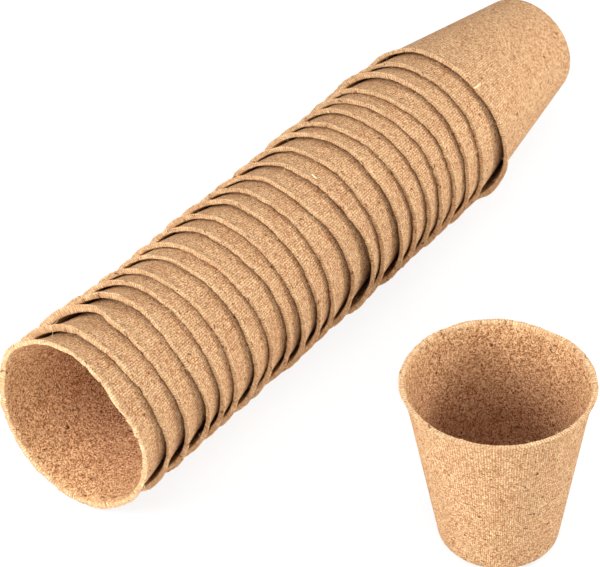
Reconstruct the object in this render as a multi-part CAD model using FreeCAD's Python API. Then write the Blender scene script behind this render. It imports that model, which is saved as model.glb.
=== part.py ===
"""A set of round moulded peat pots: a nested stack that lies on its side, and one pot standing beside it.

Millimetres, +Z up. The set rests on Z = 0, and the origin is below its middle.
The stack lies along X: its open mouth faces -X, and the base of its outermost pot faces +X.
The standing pot is on the -Y side of the stack.
"""

import FreeCAD, Part

import math
import os

from FreeCAD import Base

# One pot.
mouth_diameter = 80.0  # across the outside of the lip
foot_diameter = 49.5  # where the line of the wall meets the floor
pot_height = 82.0
wall_thickness = 1.4
base_thickness = 1.8
drain_diameter = 7.0  # one round hole in the middle of the base
base_corner_radius = 5.0  # outside, between wall and base
lip_height = 6.5  # the stretch below the rim where the wall turns outwards
lip_flare = 1.2  # how far the outside of the lip stands out from the line of the wall
lip_inner_flare = 0.5  # the same on the inside, so the lip is thicker than the wall
rim_edge = 0.6  # the outer edge of the rim is eased by this much
# Half way up the lip, its curve has turned out by this share of the whole flare.
lip_curve_share = 0.25

# The nested stack.
nest_clearance = 0.3  # square to the wall, from a pot to the one around it, where they sit closest
# From each rim to the next, mouth end first, as shares of the closest step that the taper allows.
nest_step_shares = (
    1.25, 1.31, 1.28, 1.21, 1.02, 1.30, 1.05, 1.26, 1.00, 1.19, 1.08,
    1.15, 1.37, 1.23, 1.34, 1.05, 1.11, 1.02, 1.03, 1.15, 1.14, 1.36,
)

# Where the standing pot is.
axis_spacing = 154.2  # from the stack's axis to the standing pot's, across the stack
standing_setback = 89.0  # from the stack's mouth to the standing pot's axis, along the stack

mouth_radius = mouth_diameter / 2
foot_radius = foot_diameter / 2
wall_angle = math.atan2(mouth_radius - lip_flare - foot_radius, pot_height)
wall_run = wall_thickness / math.cos(wall_angle)  # the wall's thickness, measured level
wall_step = (wall_thickness + nest_clearance) / math.sin(wall_angle)
closest_step = max(wall_step, lip_height + nest_clearance)  # a lip doesn't go into the next mouth

CENTRE = Base.Vector(0, 0, 0)
UP = Base.Vector(0, 0, 1)
ACROSS = Base.Vector(0, 1, 0)


def wall_point(height, inset, flare):
    """A point of the section, this far in from the line of the wall's outside, with the flare added."""
    return Base.Vector(foot_radius + height * math.tan(wall_angle) - inset + flare, 0, height)


def round_edge(solid, corner, radius):
    """Rounds the circular edge that runs through one corner of the section."""
    nearest = min(solid.Edges, key=lambda edge: edge.distToShape(Part.Vertex(corner))[0])
    return solid.makeFillet(radius, [nearest])


def pot(shown):
    """One pot, standing on the origin. Those inside the stack have straight edges in place of the rounds."""
    lip_foot = pot_height - lip_height
    lip_middle = pot_height - lip_height / 2
    widest = pot_height - rim_edge
    outer_foot = wall_point(0, 0, 0)
    outer_lip_foot = wall_point(lip_foot, 0, 0)
    outer_lip_middle = wall_point(lip_middle, 0, lip_flare * lip_curve_share)
    outer_lip_top = Base.Vector(mouth_radius, 0, widest)
    outer_rim = Base.Vector(mouth_radius - rim_edge, 0, pot_height)
    inner_rim = wall_point(pot_height, wall_run, lip_inner_flare)
    inner_lip_foot = wall_point(lip_foot, wall_run, 0)
    inner_foot = wall_point(base_thickness, wall_run, 0)
    drain_top = Base.Vector(drain_diameter / 2, 0, base_thickness)
    drain_foot = Base.Vector(drain_diameter / 2, 0, 0)

    if shown:
        lip = Part.Arc(outer_lip_foot, outer_lip_middle, outer_lip_top)
    else:
        lip = Part.LineSegment(outer_lip_foot, outer_lip_top)
    outline = [
        Part.LineSegment(drain_foot, outer_foot),
        Part.LineSegment(outer_foot, outer_lip_foot),
        lip,
        Part.LineSegment(outer_lip_top, outer_rim),
        Part.LineSegment(outer_rim, inner_rim),
        Part.LineSegment(inner_rim, inner_lip_foot),
        Part.LineSegment(inner_lip_foot, inner_foot),
        Part.LineSegment(inner_foot, drain_top),
        Part.LineSegment(drain_top, drain_foot),
    ]
    section = Part.Face(Part.Wire([curve.toShape() for curve in outline]))
    solid = section.revolve(CENTRE, UP, 360)
    if shown:
        solid = round_edge(solid, outer_foot, base_corner_radius)
        solid = round_edge(solid, inner_foot, base_corner_radius - wall_thickness)
    return solid


def laid_down(standing, rim_x, axis_y):
    """A pot on its side, resting on its lip, with its mouth towards -X and its rim at rim_x."""
    laid = standing.copy()
    laid.rotate(CENTRE, ACROSS, -90)
    laid.translate(Base.Vector(rim_x + pot_height, axis_y, mouth_radius))
    return laid


def main():
    os.makedirs("parts", exist_ok=True)
    shown_pot = pot(True)
    inner_pot = pot(False)

    stack_length = closest_step * sum(nest_step_shares) + pot_height
    rims = [-stack_length / 2]
    for share in nest_step_shares:
        rims.append(rims[-1] + closest_step * share)
    for number, rim_x in enumerate(rims, start=1):
        at_an_end = number in (1, len(rims))
        laid = laid_down(shown_pot if at_an_end else inner_pot, rim_x, axis_spacing / 2)
        laid.exportStep(f"parts/stack_pot_{number:02d}.step")

    standing = shown_pot.copy()
    standing.translate(Base.Vector(rims[0] + standing_setback, -axis_spacing / 2, 0))
    standing.exportStep("parts/standing_pot.step")
    print(f"stack of {len(rims)}, {stack_length:.1f} long, closest step {closest_step:.2f}")


main()
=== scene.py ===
"""Round pots of pressed peat fibre: a nested stack lying on its side, and one pot standing beside it."""

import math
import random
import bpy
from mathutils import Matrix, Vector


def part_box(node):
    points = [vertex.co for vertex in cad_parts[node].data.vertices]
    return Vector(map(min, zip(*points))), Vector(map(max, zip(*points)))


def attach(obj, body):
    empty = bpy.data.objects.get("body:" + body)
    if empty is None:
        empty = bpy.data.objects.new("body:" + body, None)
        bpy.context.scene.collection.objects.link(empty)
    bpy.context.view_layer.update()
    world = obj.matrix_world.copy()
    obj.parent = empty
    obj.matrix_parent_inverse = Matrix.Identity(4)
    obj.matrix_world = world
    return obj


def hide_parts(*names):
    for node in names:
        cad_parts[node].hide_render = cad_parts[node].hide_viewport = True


bl_info = {
    "name": "Pressed peat pots",
    "version": (1, 0, 0),
    "blender": (4, 5, 0),
    "location": "3D View > Sidebar > Peat pots",
    "description": "Makes a nested stack of peat pots, one standing pot and a plain studio",
    "category": "Object",
}

import bmesh
import bpy
from bpy.props import FloatProperty, FloatVectorProperty, IntProperty, PointerProperty
from mathutils import Matrix, Vector, noise

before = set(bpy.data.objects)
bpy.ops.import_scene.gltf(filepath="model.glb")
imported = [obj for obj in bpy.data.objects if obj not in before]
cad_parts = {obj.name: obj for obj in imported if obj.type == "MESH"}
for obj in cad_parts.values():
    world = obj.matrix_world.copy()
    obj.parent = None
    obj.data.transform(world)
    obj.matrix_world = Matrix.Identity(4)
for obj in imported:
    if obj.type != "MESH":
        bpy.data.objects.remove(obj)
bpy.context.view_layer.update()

MM = 0.001
TURN = 2 * math.pi
SHEET_MAP = "pressed sheet"  # the UV map of the wall rolled out flat
OUTSIDE, INSIDE, LOOSE = range(3)  # the places of a pot's materials

STACK_POTS = sorted(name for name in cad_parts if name.startswith("stack_pot"))
MOUTH_POT = STACK_POTS[0]  # its inside is open to the camera
OUTER_POT = STACK_POTS[-1]  # its whole outer wall shows

stand_low, stand_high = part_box("standing_pot")
POT_HEIGHT = stand_high.z - stand_low.z
MOUTH_RADIUS = (stand_high.x - stand_low.x) / 2
STAND_AXIS = Vector(((stand_low.x + stand_high.x) / 2, (stand_low.y + stand_high.y) / 2, 0))

# The photograph's frame, in pixels.
PHOTO_WIDTH_PX = 600
PHOTO_HEIGHT_PX = 567
FOCAL_PX = 3565.4
STAND_FOOT_PX = (496.6, 531.4)  # where the middle of the standing pot's foot lies in the picture

# The pots have been handled. Angles run round a pot from the middle of the side that the camera sees, in degrees and
# positive towards the right. Lengths are in millimetres, and follow the rims in the photograph.
STACK_FACING = -36.3  # where that side is on the stack's pots, round their own axis
STAND_FACING = -20.0  # the same for the standing pot
STAND_TURN = -123.4  # which is turned by this much on the floor
SHIFT_ANGLES = (-50, -30, -10, 10, 30, 50)
# For each rim: how far it is pushed towards the base at those angles, then how far it is spread at the left, in the
# middle and at the right.
STACK_RIMS = (
    ((1.8, 0.9, -0.6, -2.1, -0.4, 0.6), (2.3, 0.3, 0.2)),
    ((1.4, 0.3, -0.2, 0.2, 0.5, 1.8), (1.9, -0.2, 1.0)),
    ((4.4, 0.8, -0.2, -0.2, 0.1, 1.2), (2.2, -0.6, 1.2)),
    ((3.1, 2.4, 0.5, -0.3, 0.6, 2.1), (1.2, -0.4, 1.2)),
    ((1.8, 0.9, 0.6, 0.0, -0.1, 0.5), (0.2, -0.4, 0.6)),
    ((1.3, 0.1, 0.0, 0.0, -0.5, -0.3), (0.0, -0.4, 0.6)),
    ((0.8, 0.3, 0.3, 0.3, -0.1, 0.4), (-0.6, 0.0, 0.6)),
    ((0.2, -0.7, -0.5, 0.0, 1.3, 1.5), (-0.8, -0.4, 0.0)),
    ((0.7, -0.4, -0.3, 0.8, 1.3, 1.0), (-0.2, -0.3, 0.3)),
    ((1.2, 0.1, -0.3, -0.3, -0.2, -0.4), (0.2, -0.4, 1.6)),
    ((2.4, 1.0, 0.0, 0.3, -0.2, 0.1), (0.3, -0.3, 0.8)),
    ((1.8, 0.2, 0.0, 0.0, 0.0, -0.3), (-0.2, -0.4, 0.4)),
    ((1.5, -0.2, -0.3, 1.8, 2.7, 3.0), (-0.8, 0.0, 0.4)),
    ((0.2, -0.5, -0.3, 0.6, 2.2, 2.7), (-0.5, 0.2, 1.8)),
    ((0.8, 0.0, -0.2, -0.4, -0.2, -0.3), (-0.8, -0.4, 0.0)),
    ((-0.2, 0.7, 0.6, 0.0, -0.7, -1.1), (0.2, 0.2, 1.2)),
    ((-1.2, -0.7, -0.1, 0.0, 0.1, -0.4), (0.1, -0.3, 0.5)),
    ((0.3, -0.3, 0.0, 0.4, 0.3, 0.1), (-0.3, -0.4, 0.0)),
    ((-1.0, -0.7, 0.1, 0.7, -0.2, -1.0), (-0.7, -0.4, 0.3)),
    ((-1.7, -1.7, -0.2, 0.9, -0.2, -0.4), (-0.8, -0.4, -0.3)),
    ((1.0, 0.7, 0.8, 0.0, -1.0, -1.8), (1.0, 0.2, 0.1)),
    ((1.0, 0.2, 0.2, 0.3, -1.0, -1.5), (-0.4, -0.3, -0.6)),
    ((1.0, 0.0, 0.3, 0.7, 0.9, 1.2), (-0.2, 0.2, 2.0)),
)
# The open mouth shows all round, and so does the standing pot's: angle, then spread.
MOUTH_SPREADS = ((-120, -1.4), (-80, 2.4), (-40, 1.6), (0, 0.3), (40, 0.3), (80, -0.8), (110, -0.7), (140, 0.2))
STAND_SPREADS = ((-172, 0.3), (-150, -0.7), (-131, 0.1), (-100, 0.3), (0, 0.2), (83, 0.4), (130, 0.1))
STAND_SHIFTS = ((0, 0.0), (180, 0.0))
# Round the stack, this share of a rim's spread also moves its inside. The rest makes the rim thicker.
INSIDE_FOLLOWS = ((-150, 1.0), (-100, 0.35), (-30, 0.35), (20, 1.0))
STAND_LEAN = 2.6  # the standing pot's rim is this much to the camera's left of its foot
STAND_LEAN_FROM = 23  # and it leans about this height
# Long pale straws across two rims: pot, angle, start below the rim, length, turn in degrees.
STRAWS = ((23, 0.4, 3.2, 4.8, 0), (14, -24, 1.2, 3.0, 75))
STRAW_RADIUS = 0.28
STRAW_STANDS_OUT = 0.9  # from the line of a true rim, so that it lies on the swollen one
STAND_SEED = 41  # a pot of the stack has its number as its seed
STACK_WEAR = 1.0
STAND_WEAR = 0.35  # the standing pot's rim is much less worn
EACH_TURN = 137.5  # each pot of the stack is turned by this much more, so that no two show the same spots

BASE_ROUND = 0.85  # the wall leans out, so a round of radius 1 starts this far from the base's corner
# How finely a pot is divided near its rim, how far down that goes, how finely below it, and in how many steps round.
# Of a pot inside the stack only a band below the rim shows.
SHOWN_DIVISION = {"fine_step": 1.5 * MM, "fine_depth": 18 * MM, "coarse_step": 4 * MM, "steps_round": 320}
INNER_DIVISION = {"fine_step": 1.9 * MM, "fine_depth": 18 * MM, "coarse_step": 20 * MM, "steps_round": 224}

WHITE = (1.0, 1.0, 1.0)
FLOOR_REACH = 6  # metres from the middle to an edge
FLOOR_GLOW = 0.8  # this much of the floor that the camera sees is white by itself, and the rest takes the shadow
ROOM_LIGHT = 0.47
# Name, power in watts, width and place in metres.
SOFTBOXES = (
    ("mouth_softbox", 7.6, 0.45, (-0.68, 0.35, 0.42)),
    ("front_softbox", 9.0, 0.7, (-0.9, -1.05, 0.5)),
    ("right_softbox", 5.3, 0.25, (0.45, -0.5, 0.5)),
    ("top_softbox", 8.6, 0.9, (-0.3, -0.2, 1.5)),
)
SOFTBOXES_AIM = Vector((0, 0, 0.04))


def linear(hex_colour):
    """An sRGB hex colour as linear red, green and blue."""
    channels = [(hex_colour >> shift & 255) / 255 for shift in (16, 8, 0)]
    return tuple(c / 12.92 if c <= 0.04045 else ((c + 0.055) / 1.055) ** 2.4 for c in channels)


def length(name, description, default_mm):
    return FloatProperty(
        name=name, description=description, default=default_mm * MM, min=0, unit="LENGTH", precision=5
    )


def colour(name, description, hex_colour):
    return FloatVectorProperty(
        name=name, description=description, default=linear(hex_colour), subtype="COLOR", size=3, min=0, max=1
    )


class PotSizes(bpy.types.PropertyGroup):
    foot_diameter: length("Foot", "Across the foot, where the line of the wall meets the floor", 49.5)
    wall: length("Wall", "Thickness of the wall", 1.4)
    base: length("Base", "Thickness of the base", 1.8)
    drain: length("Drain hole", "Across the hole in the base", 7.0)
    corner: length("Base corner", "Outer radius between wall and base", 5.0)
    lip_height: length("Lip height", "How far below the rim the wall starts to turn out", 6.5)
    lip_flare: length("Lip flare", "How far the lip stands out from the line of the wall", 1.2)
    lip_inner_flare: length("Inner flare", "How far the inside of the lip stands back", 0.5)
    rim_edge: length("Rim edge", "How far the edges of the rim are rounded", 0.5)


class PressingMarks(bpy.types.PropertyGroup):
    handled_depth: length("Handled depth", "How far below the rim handling has bent the pot", 17.0)
    lip_depth: length("Pressed lip depth", "How far below the rim a closed lip is pressed in", 9.0)
    least_gap: length("Least gap", "Between a rim and the pot inside it", 0.7)
    thicker: length("Thicker rim", "How much the pulp swells at the rim, at most", 0.65)
    rim_wave: length("Rim wave", "How far the rim rises and falls between the bends", 0.45)
    tear: length("Torn edge", "How ragged the rim is", 0.55)
    lumps: length("Lumps", "How uneven the wall is near the rim", 0.2)


class StrayFibres(bpy.types.PropertyGroup):
    per_rim: IntProperty(name="Per rim", description="Loose fibres round each rim", default=60, min=0)
    longest: length("Longest", "The longest loose fibre", 2.6)
    thickness: length("Thickness", "Across a loose fibre", 0.13)


class PeatColours(bpy.types.PropertyGroup):
    screen_side: colour("Outside", "The side pressed against the screen", 0xF7D5A0)
    felt_side: colour("Inside", "The open felt of the inside, near the rim", 0xFBA755)
    # Painted shade: the inside turns to this darker colour towards the base, where the hollow is in shade.
    deep_felt_shade: colour("Deep inside", "The felt towards the base", 0xD86C2C)
    # Painted shade: this dark brown lies on the inside of the nested pots, so that the narrow gaps between the rims
    # read dark.
    gap_shade_felt: colour("Nested inside", "The felt in the narrow gaps of the stack, painted dark as shade", 0x7E4018)
    rim: colour("Rim", "The torn and rubbed edge", 0xF4D4A8)
    pale_fibre: colour("Pale fibre", "Straw-coloured fibres", 0xFBE0B4)
    brown_fibre: colour("Brown fibre", "Darker peat fibres", 0x8F4E20)
    bark: colour("Bark", "Small brown bits in the pulp", 0x743A1A)
    dark_fleck: colour("Dark fleck", "Decayed bits in the pulp", 0x33241C)


class Studio(bpy.types.PropertyGroup):
    heading: FloatProperty(
        name="Heading", description="The camera's heading from +X", default=math.radians(36.62), unit="ROTATION"
    )
    tilt: FloatProperty(
        name="Tilt", description="How far the camera looks down", default=math.radians(39.08), unit="ROTATION"
    )
    roll: FloatProperty(name="Roll", description="The camera's roll", default=0.0039, unit="ROTATION")
    distance: FloatProperty(
        name="Distance", description="Depth from the camera to the standing pot's foot", default=1.488, unit="LENGTH"
    )
    floor: colour("Floor", "The plain floor", 0xF2F1EF)


GROUPS = {
    "peat_sizes": PotSizes,
    "peat_marks": PressingMarks,
    "peat_fibres": StrayFibres,
    "peat_colours": PeatColours,
    "peat_studio": Studio,
}


# Finishes


def add(tree, kind, inputs=None, **settings):
    """Adds a node, makes its settings, and fills or links its inputs, which go by name or number.

    An input takes a value, another node's output, or another node, whose first output in use is then linked.
    """
    node = tree.nodes.new("ShaderNode" + kind)
    for name, value in settings.items():
        setattr(node, name, value)
    for name, value in (inputs or {}).items():
        if isinstance(value, bpy.types.Node):
            value = next(output for output in value.outputs if output.enabled)
        if isinstance(value, bpy.types.NodeSocket):
            tree.links.new(value, node.inputs[name])
        else:
            node.inputs[name].default_value = value
    return node


def rgba(colour_property):
    return (*colour_property, 1.0)


def per_metre(size_mm):
    """The texture scale at which one cell of a pattern is this many millimetres across."""
    return 1.0 / (size_mm * MM)


def grain(tree, coords, size_mm, seed, spread):
    """A soft random pattern from 0 to 1, with more contrast the smaller the spread. Each seed gives another place."""
    place = add(tree, "Mapping", {"Vector": coords, "Location": (seed * 0.137, seed * 0.071, seed * 0.053)})
    cells = add(tree, "TexNoise", {"Vector": place, "Scale": per_metre(size_mm), "Detail": 1.0})
    return add(tree, "MapRange", {"Value": cells, "From Min": 0.5 - spread, "From Max": 0.5 + spread}, clamp=True)


def fibres(tree, coords, width_mm, stretch, angles, spread):
    """Crisp short fibres pressed over each other at several angles, each with its own level from 0 to 1."""
    total = None
    for angle in angles:
        turn = add(tree, "Mapping", {"Vector": coords, "Rotation": (0, 0, math.radians(angle))})
        place = add(tree, "Mapping", {"Vector": turn, "Scale": (1 / stretch, 1, 1)})
        cells = add(tree, "TexVoronoi", {"Vector": place, "Scale": per_metre(width_mm)}, voronoi_dimensions="2D")
        layer = add(tree, "SeparateColor", {0: cells.outputs["Color"]}).outputs[0]
        total = add(tree, "Math", {0: total, 1: layer}) if total else layer
    middle = len(angles) / 2
    levels = {"Value": total, "From Min": middle - spread, "From Max": middle + spread}
    return add(tree, "MapRange", levels, clamp=True)


def bits(tree, coords, spacing_mm, longest_mm, stretch, angle, share):
    """Separate bits, 1 in their middle and 0 around: this share of the cells holds one, and few are large."""
    turn = add(tree, "Mapping", {"Vector": coords, "Rotation": (0, 0, math.radians(angle))})
    place = add(tree, "Mapping", {"Vector": turn, "Scale": (1 / stretch, 1, 1)})
    cells = add(tree, "TexVoronoi", {"Vector": place, "Scale": per_metre(spacing_mm)}, voronoi_dimensions="2D")
    chance = add(tree, "SeparateColor", {0: cells.outputs["Color"]})
    rarity = add(tree, "Math", {0: chance.outputs[0], 1: 3.0}, operation="POWER")
    largest = longest_mm / stretch / spacing_mm / 2
    outer = add(tree, "Math", {0: rarity, 1: largest * 0.65, 2: largest * 0.35}, operation="MULTIPLY_ADD")
    inner = add(tree, "Math", {0: outer, 1: 0.6}, operation="MULTIPLY")
    levels = {"Value": cells.outputs["Distance"], "From Min": inner, "From Max": outer, "To Min": 1.0, "To Max": 0.0}
    bit = add(tree, "MapRange", levels, clamp=True)
    present = add(tree, "Math", {0: chance.outputs[1], 1: share}, operation="LESS_THAN")
    return add(tree, "Math", {0: bit, 1: present}, operation="MULTIPLY")


def dashes(tree, coords, spacing_mm, longest_mm, stretch, angles):
    """Single fibres at several angles: 1 on a fibre, 0 beside it."""
    total = None
    for angle in angles:
        layer = bits(tree, coords, spacing_mm, longest_mm, stretch, angle, share=0.6)
        total = add(tree, "Math", {0: total, 1: layer}, operation="MAXIMUM") if total else layer
    return total


def screen_marks(tree, form, sheet, reach, pitch_mm):
    """The print of the forming screen: 1 on the crests between its wires, less along them.

    Its wires are pitch_mm apart half way up the pot. Those down the wall print fully, those round it weakly.
    """
    along = add(tree, "SeparateXYZ", {0: sheet})
    middle = form.sheet_reach(POT_HEIGHT / 2)
    angle = add(tree, "Math", {0: along.outputs["Y"], 1: along.outputs["X"]}, operation="ARCTAN2")
    ribs_round = round(middle * math.sin(form.slope) * TURN / (pitch_mm * MM))  # a whole number, so the ends meet
    phases = (
        (angle, ribs_round / math.sin(form.slope), 0.0),
        (reach, TURN / (pitch_mm * MM), 0.55),
    )
    crest = None
    for place, rate, weakest in phases:
        phase = add(tree, "Math", {0: place, 1: rate}, operation="MULTIPLY")
        wave = add(tree, "Math", {0: phase}, operation="SINE")
        level = {0: wave, 1: (1 - weakest) / 2, 2: (1 + weakest) / 2}
        ridge = add(tree, "Math", level, operation="MULTIPLY_ADD")
        crest = add(tree, "Math", {0: crest, 1: ridge}, operation="MULTIPLY") if crest else ridge
    return crest


def peat_material(name, form, colours, near, deep, dark, loose_share, felt_depth_mm, screen_share):
    """Pressed peat and wood pulp: dry, matt, and speckled with straw, bark and dark decayed bits.

    near and deep are its ground colours at the rim and towards the base, and dark lies between the fibres. Where deep
    is darker, on the inside, that is painted shade in the pot's hollow.
    loose_share is how clearly single fibres stand out, and screen_share how clearly the forming screen has printed.
    The pattern lies on the rolled-out wall, whose corner is the cone's tip, so the distance from that corner gives
    the depth below the rim. Real fibres are thinner than 0.3 mm, but are drawn as coarse as the picture needs to
    show them.
    """
    material = bpy.data.materials.new(name)
    material.use_nodes = True
    tree = material.node_tree
    tree.nodes.clear()
    solid = add(tree, "TexCoord").outputs["Object"]
    sheet = add(tree, "UVMap", uv_map=SHEET_MAP).outputs[0]
    reach = add(tree, "VectorMath", {0: sheet}, operation="LENGTH").outputs["Value"]
    depth = add(tree, "Math", {0: form.sheet_reach(POT_HEIGHT), 1: reach}, operation="SUBTRACT")

    # Where the pulp settled thicker or thinner: broad patches, lumps, and the felt's own unevenness.
    cloud = grain(tree, solid, size_mm=12.0, seed=1, spread=0.16)
    coarse = grain(tree, solid, size_mm=3.2, seed=5, spread=0.2)
    medium = grain(tree, solid, size_mm=1.1, seed=2, spread=0.14)
    # The matted fibres, then single straws and dark peat fibres that lie clear of them.
    felt = fibres(tree, sheet, width_mm=0.36, stretch=1.8, angles=(12, 71, 131), spread=0.62)
    pale = dashes(tree, sheet, spacing_mm=1.0, longest_mm=2.8, stretch=4.5, angles=(25, 84, 146))
    brown = dashes(tree, sheet, spacing_mm=1.1, longest_mm=2.4, stretch=4.0, angles=(55, 118, 172))
    # Crumbs of bark, slivers of decayed wood, and a few larger black bits.
    flecks = bits(tree, sheet, spacing_mm=1.7, longest_mm=1.4, stretch=1.5, angle=20, share=0.4)
    slivers = bits(tree, sheet, spacing_mm=2.9, longest_mm=3.2, stretch=3.2, angle=75, share=0.3)
    crumbs = bits(tree, sheet, spacing_mm=6.5, longest_mm=2.0, stretch=1.3, angle=130, share=0.4)

    # The ground colour changes down the wall, which on the inside is painted shade growing towards the base, and is
    # rubbed pale along an uneven line below the rim.
    sunk = add(tree, "MapRange", {"Value": depth, "From Min": 2 * MM, "From Max": 45 * MM}, clamp=True)
    ground = add(tree, "Mix", {0: sunk, 6: rgba(near), 7: rgba(deep)}, data_type="RGBA")
    worn = add(tree, "Math", {0: coarse, 1: -2.2 * MM, 2: depth}, operation="MULTIPLY_ADD")
    levels = {"Value": worn, "From Min": -0.4 * MM, "From Max": 1.8 * MM, "To Min": 0.38, "To Max": 0.0}
    rubbed = add(tree, "MapRange", levels, clamp=True)
    ground = add(tree, "Mix", {0: rubbed, 6: ground, 7: rgba(colours.rim)}, data_type="RGBA")

    # Each fibre of the felt lies somewhere between shade and light, and less so where the rim is rubbed.
    light = add(tree, "Mix", {0: 0.6, 6: ground, 7: rgba(colours.pale_fibre)}, data_type="RGBA")
    between = add(tree, "Math", {0: rubbed, 1: -0.9, 2: 0.9}, operation="MULTIPLY_ADD")
    shade = add(tree, "Mix", {0: between, 6: ground, 7: rgba(dark)}, data_type="RGBA")
    tone = add(tree, "Math", {0: medium, 1: 0.08}, operation="MULTIPLY")
    tone = add(tree, "Math", {0: felt, 1: 0.88, 2: tone}, operation="MULTIPLY_ADD")
    tone = add(tree, "Math", {0: coarse, 1: 0.04, 2: tone}, operation="MULTIPLY_ADD")
    base = add(tree, "Mix", {0: tone, 6: shade, 7: light}, data_type="RGBA")

    # What lies over it, from the first to the last: where it is, how much it covers, and its colour.
    layers = [
        (cloud, 0.1, rgba(colours.brown_fibre)),
        (brown, loose_share, rgba(dark)),
        (pale, loose_share, light),
        (flecks, 0.75, rgba(colours.bark)),
        (slivers, 0.8, rgba(colours.dark_fleck)),
        (crumbs, 0.9, rgba(colours.dark_fleck)),
    ]
    height = add(tree, "Math", {0: medium, 1: 0.4}, operation="MULTIPLY")
    height = add(tree, "Math", {0: felt, 1: 0.5, 2: height}, operation="MULTIPLY_ADD")
    height = add(tree, "Math", {0: pale, 1: loose_share, 2: height}, operation="MULTIPLY_ADD")
    if screen_share > 0:
        marks = screen_marks(tree, form, sheet, reach, pitch_mm=0.95)
        dents = add(tree, "Math", {0: 1.0, 1: marks}, operation="SUBTRACT")
        layers.append((dents, screen_share, rgba(colours.brown_fibre)))
        height = add(tree, "Math", {0: marks, 1: 1.2 * screen_share, 2: height}, operation="MULTIPLY_ADD")
    for layer, share, tint in layers:
        part = add(tree, "Math", {0: layer, 1: share}, operation="MULTIPLY")
        base = add(tree, "Mix", {0: part, 6: base, 7: tint}, data_type="RGBA")
    bump = add(tree, "Bump", {"Height": height, "Distance": felt_depth_mm * MM, "Strength": 1.0})
    dry = {"Base Color": base, "Roughness": 0.92, "Specular IOR Level": 0.15, "Normal": bump}
    shader = add(tree, "BsdfPrincipled", dry)
    add(tree, "OutputMaterial", {"Surface": shader})
    return material


def finishes(form, colours):
    """The pots' four finishes, made once: outside, inside, loose fibre, and the inside of the pots in the stack,
    painted dark brown as the shade in the gaps between their rims.
    """
    names = ("peat_screen_side", "peat_felt_side", "straw_fibre", "peat_felt_painted_gap_shade")
    made = [bpy.data.materials.get(name) for name in names]
    if all(made):
        return made
    # Straw and wood fibres torn loose at the rim: dry and pale, so they catch the light along the edge.
    straw_fibre = bpy.data.materials.new("straw_fibre")
    straw_fibre.use_nodes = True
    shader = straw_fibre.node_tree.nodes["Principled BSDF"]
    shader.inputs["Base Color"].default_value = rgba(colours.pale_fibre)
    shader.inputs["Roughness"].default_value = 0.7
    # Pulp sucked flat against a wire screen: the palest and evenest side, with the screen's ribs down the wall.
    screen_side = peat_material(
        "peat_screen_side",
        form,
        colours,
        near=colours.screen_side,
        deep=colours.screen_side,
        dark=colours.brown_fibre,
        loose_share=0.35,
        felt_depth_mm=0.3,
        screen_share=0.5,
    )
    # The other side of the same sheet, left open while it dried: rough, and redder and darker towards the base, where
    # the darkening is painted shade of the hollow.
    felt_side = peat_material(
        "peat_felt_side",
        form,
        colours,
        near=colours.felt_side,
        deep=colours.deep_felt_shade,
        dark=colours.bark,
        loose_share=0.75,
        felt_depth_mm=0.55,
        screen_share=0.0,
    )
    # The same felt painted dark brown on the inside of the nested pots: painted shade, which gives the dark line in
    # the gap under each rim.
    gap_shade_finish = peat_material(
        "peat_felt_painted_gap_shade",
        form,
        colours,
        near=colours.gap_shade_felt,
        deep=colours.gap_shade_felt,
        dark=colours.bark,
        loose_share=0.75,
        felt_depth_mm=0.55,
        screen_share=0.0,
    )
    return [screen_side, felt_side, straw_fibre, gap_shade_finish]


# Pots


def smooth(value):
    """0 to 1 with a soft start and end."""
    value = min(max(value, 0.0), 1.0)
    return value * value * (3 - 2 * value)


class PotForm:
    """The straight-sided form that all the pots were pressed on."""

    def __init__(self, sizes):
        self.sizes = sizes
        self.foot = sizes.foot_diameter / 2
        self.taper = (MOUTH_RADIUS - sizes.lip_flare - self.foot) / POT_HEIGHT
        self.slope = math.atan(self.taper)
        self.run = sizes.wall / math.cos(self.slope)

    def wall(self, height):
        """The radius of the wall's outside, without the lip."""
        return self.foot + self.taper * height

    def sheet_reach(self, height):
        """How far a height of the wall lies from the cone's tip, along the slope."""
        return self.wall(height) / math.sin(self.slope)

    def on_sheet(self, radius, height, angle):
        """Where a point lies when the wall is rolled out flat, with the lip and the rim folded out after it."""
        reach = self.sheet_reach(height) + self.wall(height) - radius
        spread = angle * math.sin(self.slope)
        return reach * math.cos(spread), reach * math.sin(spread)


def round_corner(bm, corner, offset, segments):
    """Rounds the outline at the vertex that lies on a corner. The round starts this far from it on both sides."""
    nearest = min(bm.verts, key=lambda vert: (vert.co - corner).length)
    bmesh.ops.bevel(
        bm, geom=[nearest], affect="VERTICES", offset=offset, segments=segments, profile=0.5, material=-1
    )


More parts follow.
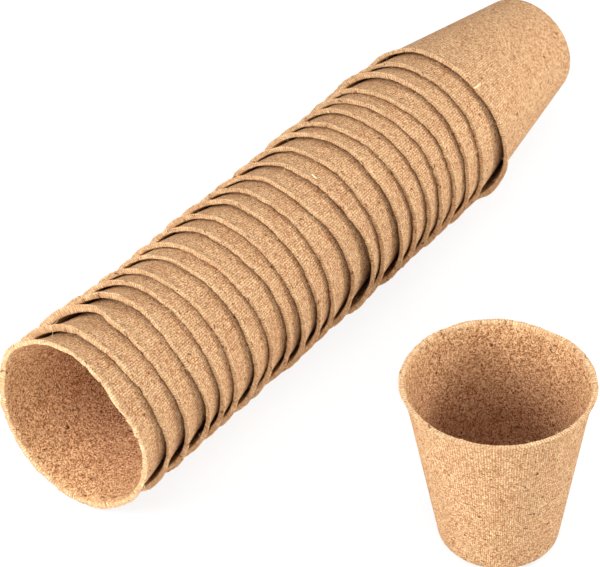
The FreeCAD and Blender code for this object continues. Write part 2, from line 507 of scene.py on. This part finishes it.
def section(bm, form, fine_step, fine_depth, coarse_step):
    """The pot's section as a closed outline in the XZ plane, finely divided down to fine_depth below the rim.

    The last 2 mm, where the rim is torn, are three times finer still.
    """
    sizes = form.sizes
    lip_foot = POT_HEIGHT - sizes.lip_height
    lip_middle = POT_HEIGHT - sizes.lip_height / 2
    fine_from = POT_HEIGHT - fine_depth
    outer_foot = Vector((form.foot, 0, 0))
    inner_foot = Vector((form.wall(sizes.base) - form.run, 0, sizes.base))
    outer_rim = Vector((MOUTH_RADIUS, 0, POT_HEIGHT))
    inner_rim = Vector((form.wall(POT_HEIGHT) - form.run + sizes.lip_inner_flare, 0, POT_HEIGHT))
    outline = [Vector((sizes.drain / 2, 0, 0)), outer_foot]
    if fine_from > 0:
        outline.append(Vector((form.wall(fine_from), 0, fine_from)))
    outline += [
        Vector((form.wall(lip_foot), 0, lip_foot)),
        Vector((form.wall(lip_middle) + sizes.lip_flare / 4, 0, lip_middle)),
        outer_rim,
        inner_rim,
        Vector((form.wall(lip_foot) - form.run, 0, lip_foot)),
    ]
    if fine_from > 0:
        outline.append(Vector((form.wall(fine_from) - form.run, 0, fine_from)))
    outline += [inner_foot, Vector((sizes.drain / 2, 0, sizes.base))]
    verts = [bm.verts.new(point) for point in outline]
    for a, b in zip(verts, verts[1:] + verts[:1]):
        bm.edges.new((a, b))
    round_corner(bm, outer_foot, sizes.corner * BASE_ROUND, segments=6)
    round_corner(bm, inner_foot, (sizes.corner - sizes.wall) * BASE_ROUND, segments=5)
    round_corner(bm, outer_rim, sizes.rim_edge, segments=3)
    round_corner(bm, inner_rim, sizes.rim_edge, segments=3)
    while True:
        too_long = []
        for edge in bm.edges:
            lowest = min(vert.co.z for vert in edge.verts)
            allowed = fine_step if lowest > fine_from - fine_step / 2 else coarse_step
            if lowest > POT_HEIGHT - 2 * MM:
                allowed = fine_step / 3
            if edge.calc_length() > allowed:
                too_long.append(edge)
        if not too_long:
            return
        bmesh.ops.subdivide_edges(bm, edges=too_long, cuts=1)


def pressed_pot(form, fine_step, fine_depth, coarse_step, steps_round):
    """A pot as it leaves the press, standing on the origin."""
    bm = bmesh.new()
    section(bm, form, fine_step, fine_depth, coarse_step)
    outline = bm.verts[:] + bm.edges[:]
    bmesh.ops.spin(
        bm, geom=outline, cent=(0, 0, 0), axis=(0, 0, 1), angle=TURN, steps=steps_round, use_merge=True
    )
    bmesh.ops.remove_doubles(bm, verts=bm.verts, dist=0.001 * MM)
    bmesh.ops.recalc_face_normals(bm, faces=bm.faces)
    sheet = bm.loops.layers.uv.new(SHEET_MAP)
    for face in bm.faces:
        face.smooth = True
        centre = face.calc_center_median()
        on_rim = centre.z > POT_HEIGHT - 0.4 * MM
        outwards = on_rim or face.normal.x * centre.x + face.normal.y * centre.y > 0
        if centre.z < form.sizes.base * 1.01:  # the base: its top belongs to the inside
            outwards = face.normal.z < 0.5
        face.material_index = OUTSIDE if outwards else INSIDE
        middle_angle = math.atan2(centre.y, centre.x)
        flat = abs(face.normal.z) > 0.8 and centre.z < form.sizes.corner  # the base keeps its own round pattern
        for loop in face.loops:
            x, y, z = loop.vert.co
            angle = math.atan2(y, x)
            if abs(angle - middle_angle) > math.pi:
                angle += math.copysign(TURN, middle_angle)
            loop[sheet].uv = (x, y) if flat else form.on_sheet(math.hypot(x, y), z, angle)
    return bm


def round_about(knots, angle):
    """A value that runs smoothly through (angle, value) knots, all the way round, in degrees."""
    for (start, first), (end, last) in zip(knots, knots[1:] + knots[:1]):
        width = (end - start) % 360
        along = (angle - start) % 360
        if along <= width:
            return first + (last - first) * smooth(along / width)
    return 0.0


def uneven(place, size_mm, offset):
    """A soft random value about 0, in lumps of about this size. Each offset gives another pattern."""
    return noise.noise(place / (size_mm * MM) + Vector(offset))


def age_pot(bm, form, marks, seed, wear, facing, shifts, spreads, clearance):
    """Moves the vertices: handling has bent the rim, torn its edge and made the wall uneven.

    wear is 1 for a pot with a badly worn rim. clearance is the gap that a true rim would leave round the pot inside
    it, or None where there is none.
    """
    for vert in bm.verts:
        x, y, z = vert.co
        depth = POT_HEIGHT - z
        if depth > marks.handled_depth:
            continue
        angle = math.atan2(y, x)
        out = Vector((math.cos(angle), math.sin(angle), 0))
        view = facing - math.degrees(angle)
        inside = math.hypot(x, y) < form.wall(z) - 0.3 * form.run

        # How much of each mark reaches this vertex: all at the rim, none below the mark's own depth.
        bend = smooth(1 - depth / marks.handled_depth)
        lip = smooth(1 - depth / marks.lip_depth)
        swollen = smooth(1 - depth / (5 * MM))
        edge = smooth(1 - depth / (2.5 * MM))

        # A place on a circle, the same at every depth, so what reads it runs straight down the wall.
        around = out * 2.2 + Vector((0, 0, seed * 3.7))
        swell = marks.thicker * wear * (0.6 + 0.8 * noise.noise(around * 1.7))
        wave = noise.noise(around * 1.2) + 0.6 * noise.noise(around * 3.3)
        tear = wear * uneven(vert.co, 2.9, (seed, 0, 0))
        tear += 0.6 * wear * uneven(vert.co, 1.4, (0, seed, 0))
        lump = uneven(vert.co, 9, (0, 0, seed))
        lump += 0.5 * uneven(vert.co, 3, (0, seed, seed))

        spread = round_about(spreads, view) * MM
        if clearance is not None:
            if inside:
                spread *= round_about(INSIDE_FOLLOWS, view)
            spread = max(spread, marks.least_gap - clearance)
        move = spread * (bend if spread > 0 else lip)
        if inside:
            move += marks.tear * 0.4 * edge * max(tear, 0.0)
            if clearance is None:  # elsewhere the pot inside it leaves no room
                move -= 0.9 * swell * swollen
        else:
            move += swell * swollen + marks.lumps * bend * lump + marks.tear * 0.4 * edge * tear
        rise = marks.rim_wave * wear * wave * bend - round_about(shifts, view) * MM * bend
        vert.co += out * move
        vert.co.z += rise + marks.tear * edge * tear


def torn_fibres(bm, stray, seed):
    """Loose fibres along the rim of a pot: thin bent rods, each with one end in the pulp."""
    dice = random.Random(seed)
    top = [vert.co.copy() for vert in bm.verts if vert.co.z > POT_HEIGHT - 1.5 * MM]
    loose = bmesh.new()
    for _ in range(stray.per_rim):
        reach = stray.longest * dice.uniform(0.3, 1.0)
        bend = dice.uniform(0.3, 1.2)
        place = (
            Matrix.Translation(dice.choice(top))
            @ Matrix.Rotation(dice.uniform(0, TURN), 4, "Z")
            @ Matrix.Rotation(dice.uniform(0.2, 1.5), 4, "X")
            @ Matrix.Rotation(dice.uniform(0, TURN), 4, "Z")
        )
        rod(loose, stray.thickness / 2 * dice.uniform(0.6, 1.1), reach, bend, place)
    return loose


def rod(bm, radius, reach, bend, place):
    """A thin rod with closed ends, which starts at the origin, rises and turns through the angle bend.

    Its edges go to the operators in the order in which they were made, so that each run gives the same mesh.
    """
    before = set(bm.verts)
    ring = bmesh.ops.create_circle(bm, cap_ends=False, segments=4, radius=radius)["verts"]
    edges = list(dict.fromkeys(edge for vert in ring for edge in vert.link_edges))
    bmesh.ops.spin(bm, geom=ring + edges, cent=(reach / bend, 0, 0), axis=(0, 1, 0), angle=bend, steps=3)
    verts = [vert for vert in bm.verts if vert not in before]
    ends = list(dict.fromkeys(edge for vert in verts for edge in vert.link_edges if edge.is_boundary))
    bmesh.ops.holes_fill(bm, edges=ends, sides=4)
    bmesh.ops.transform(bm, matrix=place, verts=verts)
    for face in {face for vert in verts for face in vert.link_faces}:
        face.material_index = LOOSE
        face.smooth = True


def straw(bm, view, start, reach, turn):
    """A long pale straw that lies over a rim of the stack."""
    place = (
        Matrix.Rotation(math.radians(STACK_FACING - view), 4, "Z")
        @ Matrix.Translation((MOUTH_RADIUS + STRAW_STANDS_OUT * MM, 0, POT_HEIGHT - start * MM))
        @ Matrix.Rotation(math.radians(turn), 4, "X")
    )
    rod(bm, STRAW_RADIUS * MM, reach * MM, bend=0.15, place=place)


def join(bm, other):
    """Adds another mesh in the making to this one, and frees it."""
    mesh = bpy.data.meshes.new("joined")
    other.to_mesh(mesh)
    other.free()
    bm.from_mesh(mesh)
    bpy.data.meshes.remove(mesh)


def finished_pot(node, bm, place, form, colours):
    """Turns a mesh into the piece that stands for a CAD node."""
    bmesh.ops.transform(bm, matrix=place, verts=bm.verts)
    name = node + "_pressed"
    mesh = bpy.data.meshes.new(name)
    bm.to_mesh(mesh)
    bm.free()
    screen_side, felt_side, straw_fibre, gap_shade_finish = finishes(form, colours)
    # The nested pots take the felt painted dark as the shade of the gaps between their rims.
    nested = node in STACK_POTS and node != MOUTH_POT
    for material in (screen_side, gap_shade_finish if nested else felt_side, straw_fibre):
        mesh.materials.append(material)
    pot = bpy.data.objects.new(name, mesh)
    bpy.context.scene.collection.objects.link(pot)
    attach(pot, node)
    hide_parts(node)


class PEAT_OT_standing_pot(bpy.types.Operator):
    """Make the pot that stands by itself"""

    bl_idname = "peat.standing_pot"
    bl_label = "Standing pot"
    bl_options = {"REGISTER", "UNDO"}

    def execute(self, context):
        scene = context.scene
        form = PotForm(scene.peat_sizes)
        marks = scene.peat_marks
        bm = pressed_pot(form, **SHOWN_DIVISION)
        age_pot(bm, form, marks, STAND_SEED, STAND_WEAR, STAND_FACING, STAND_SHIFTS, STAND_SPREADS, clearance=None)
        join(bm, torn_fibres(bm, scene.peat_fibres, STAND_SEED))
        left = math.radians(STAND_FACING - 90)
        lean = Matrix.Identity(4)  # moves the pot sideways, and more the higher up
        for row, share in enumerate((math.cos(left), math.sin(left))):
            lean[row][2] = share * STAND_LEAN * MM / POT_HEIGHT
            lean[row][3] = -lean[row][2] * STAND_LEAN_FROM * MM
        turn = Matrix.Rotation(math.radians(STAND_TURN), 4, "Z")
        finished_pot("standing_pot", bm, Matrix.Translation(STAND_AXIS) @ turn @ lean, form, scene.peat_colours)
        return {"FINISHED"}


class PEAT_OT_stack(bpy.types.Operator):
    """Make the nested pots of the stack"""

    bl_idname = "peat.stack"
    bl_label = "Nested stack"
    bl_options = {"REGISTER", "UNDO"}

    def execute(self, context):
        scene = context.scene
        form = PotForm(scene.peat_sizes)
        shown_pot = pressed_pot(form, **SHOWN_DIVISION)
        inner_pot = pressed_pot(form, **INNER_DIVISION)
        rims_x = [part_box(node)[0].x for node in STACK_POTS]
        for number, (node, (pushed, spread)) in enumerate(zip(STACK_POTS, STACK_RIMS), start=1):
            shifts = ((-90, 0.0), *zip(SHIFT_ANGLES, pushed), (90, 0.0))
            if node == MOUTH_POT:
                spreads = MOUTH_SPREADS
                clearance = None
            else:
                left, middle, right = spread
                spreads = ((-150, 0.0), (-100, left), (-60, left), (0, middle), (60, right), (120, 0.0))
                step = rims_x[number - 1] - rims_x[number - 2]
                clearance = form.taper * step - form.run + form.sizes.lip_inner_flare
            bm = (shown_pot if node in (MOUTH_POT, OUTER_POT) else inner_pot).copy()
            turn = Matrix.Rotation(math.radians(EACH_TURN * number), 3, "Z")
            bmesh.ops.rotate(bm, cent=(0, 0, 0), matrix=turn, verts=bm.verts)
            age_pot(bm, form, scene.peat_marks, number, STACK_WEAR, STACK_FACING, shifts, spreads, clearance)
            loose = torn_fibres(bm, scene.peat_fibres, number)
            for pot, *where in STRAWS:
                if pot == number:
                    straw(loose, *where)
            join(bm, loose)
            for vert in bm.verts:
                vert.co.x = max(vert.co.x, -MOUTH_RADIUS)  # the floor flattens what swells beyond it
            low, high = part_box(node)
            place = (
                Matrix.Translation((low.x + POT_HEIGHT, (low.y + high.y) / 2, MOUTH_RADIUS))
                @ Matrix.Rotation(-math.pi / 2, 4, "Y")
            )
            finished_pot(node, bm, place, form, scene.peat_colours)
        shown_pot.free()
        inner_pot.free()
        return {"FINISHED"}


class PEAT_OT_studio(bpy.types.Operator):
    """Make the floor, the lights and the camera"""

    bl_idname = "peat.studio"
    bl_label = "Studio"
    bl_options = {"REGISTER", "UNDO"}

    def execute(self, context):
        studio = context.scene.peat_studio
        make_floor(studio)
        make_lights(context.scene)
        make_camera(context.scene, studio)
        context.scene.view_settings.view_transform = "Standard"
        return {"FINISHED"}


def make_floor(studio):
    """A pale floor that looks nearly white to the camera and keeps a soft shadow."""
    bm = bmesh.new()
    bmesh.ops.create_grid(bm, x_segments=1, y_segments=1, size=FLOOR_REACH)
    mesh = bpy.data.meshes.new("studio_floor")
    bm.to_mesh(mesh)
    bm.free()
    floor = bpy.data.objects.new("studio_floor", mesh)
    bpy.context.scene.collection.objects.link(floor)
    # Studio paper: no gloss and no grain, so that nothing but the object's shadow shows on it.
    material = bpy.data.materials.new("matt_white_paper")
    material.use_nodes = True
    tree = material.node_tree
    tree.nodes.clear()
    paper = add(tree, "BsdfDiffuse", {"Color": rgba(studio.floor)})
    glow = add(tree, "Emission", {"Color": rgba(WHITE), "Strength": 1.0})
    rays = add(tree, "LightPath")
    seen = rays.outputs["Is Camera Ray"]
    for kind in ("Is Glossy Ray", "Is Transmission Ray"):
        seen = add(tree, "Math", {0: seen, 1: rays.outputs[kind]}, operation="MAXIMUM")
    share = add(tree, "Math", {0: seen, 1: FLOOR_GLOW}, operation="MULTIPLY")
    blend = add(tree, "MixShader", {0: share, 1: paper, 2: glow})
    add(tree, "OutputMaterial", {"Surface": blend})
    mesh.materials.append(material)


def make_lights(scene):
    """A soft white room, with softboxes that all look at the middle of the set."""
    world = bpy.data.worlds.new("soft_studio")
    world.use_nodes = True
    background = world.node_tree.nodes["Background"]
    background.inputs["Color"].default_value = rgba(WHITE)
    background.inputs["Strength"].default_value = ROOM_LIGHT
    scene.world = world
    for name, power, size, place in SOFTBOXES:
        light = bpy.data.lights.new(name, "AREA")
        light.energy = power
        light.size = size
        lamp = bpy.data.objects.new(name, light)
        lamp.location = place
        lamp.rotation_euler = (SOFTBOXES_AIM - Vector(place)).to_track_quat("-Z", "Y").to_euler()
        scene.collection.objects.link(lamp)


def make_camera(scene, studio):
    """Looks at the set as the photograph does: the standing pot's foot falls on its pixel."""
    forward = Vector(
        (
            math.cos(studio.tilt) * math.cos(studio.heading),
            math.cos(studio.tilt) * math.sin(studio.heading),
            -math.sin(studio.tilt),
        )
    )
    level_right = Vector((math.sin(studio.heading), -math.cos(studio.heading), 0))
    level_down = forward.cross(level_right)
    right = math.cos(studio.roll) * level_right + math.sin(studio.roll) * level_down
    down = math.cos(studio.roll) * level_down - math.sin(studio.roll) * level_right
    across = (STAND_FOOT_PX[0] - PHOTO_WIDTH_PX / 2) / FOCAL_PX
    below = (STAND_FOOT_PX[1] - PHOTO_HEIGHT_PX / 2) / FOCAL_PX
    data = bpy.data.cameras.new("photo_view")
    data.sensor_width = 36
    data.lens = FOCAL_PX / PHOTO_WIDTH_PX * data.sensor_width
    camera = bpy.data.objects.new("photo_view", data)
    axes = Matrix((right, -down, -forward)).transposed()
    place = STAND_AXIS - studio.distance * (forward + across * right + below * down)
    camera.matrix_world = Matrix.Translation(place) @ axes.to_4x4()
    scene.collection.objects.link(camera)
    scene.camera = camera


class PEAT_PT_sidebar(bpy.types.Panel):
    """Lists the pots and the studio"""

    bl_idname = "PEAT_PT_sidebar"
    bl_label = "Peat pots"
    bl_space_type = "VIEW_3D"
    bl_region_type = "UI"
    bl_category = "Peat pots"

    def draw(self, context):
        for group in GROUPS:
            box = self.layout.box()
            settings = getattr(context.scene, group)
            for name in GROUPS[group].__annotations__:
                box.prop(settings, name)
        for operator in OPERATORS:
            self.layout.operator(operator.bl_idname)


OPERATORS = (PEAT_OT_standing_pot, PEAT_OT_stack, PEAT_OT_studio)
CLASSES = (*GROUPS.values(), *OPERATORS, PEAT_PT_sidebar)


def register():
    for cls in CLASSES:
        bpy.utils.register_class(cls)
    for name, group in GROUPS.items():
        setattr(bpy.types.Scene, name, PointerProperty(type=group))


def unregister():
    for name in GROUPS:
        delattr(bpy.types.Scene, name)
    for cls in reversed(CLASSES):
        bpy.utils.unregister_class(cls)


def main():
    register()
    bpy.ops.peat.standing_pot()
    bpy.ops.peat.stack()
    bpy.ops.peat.studio()


if __name__ == "__main__":
    main()
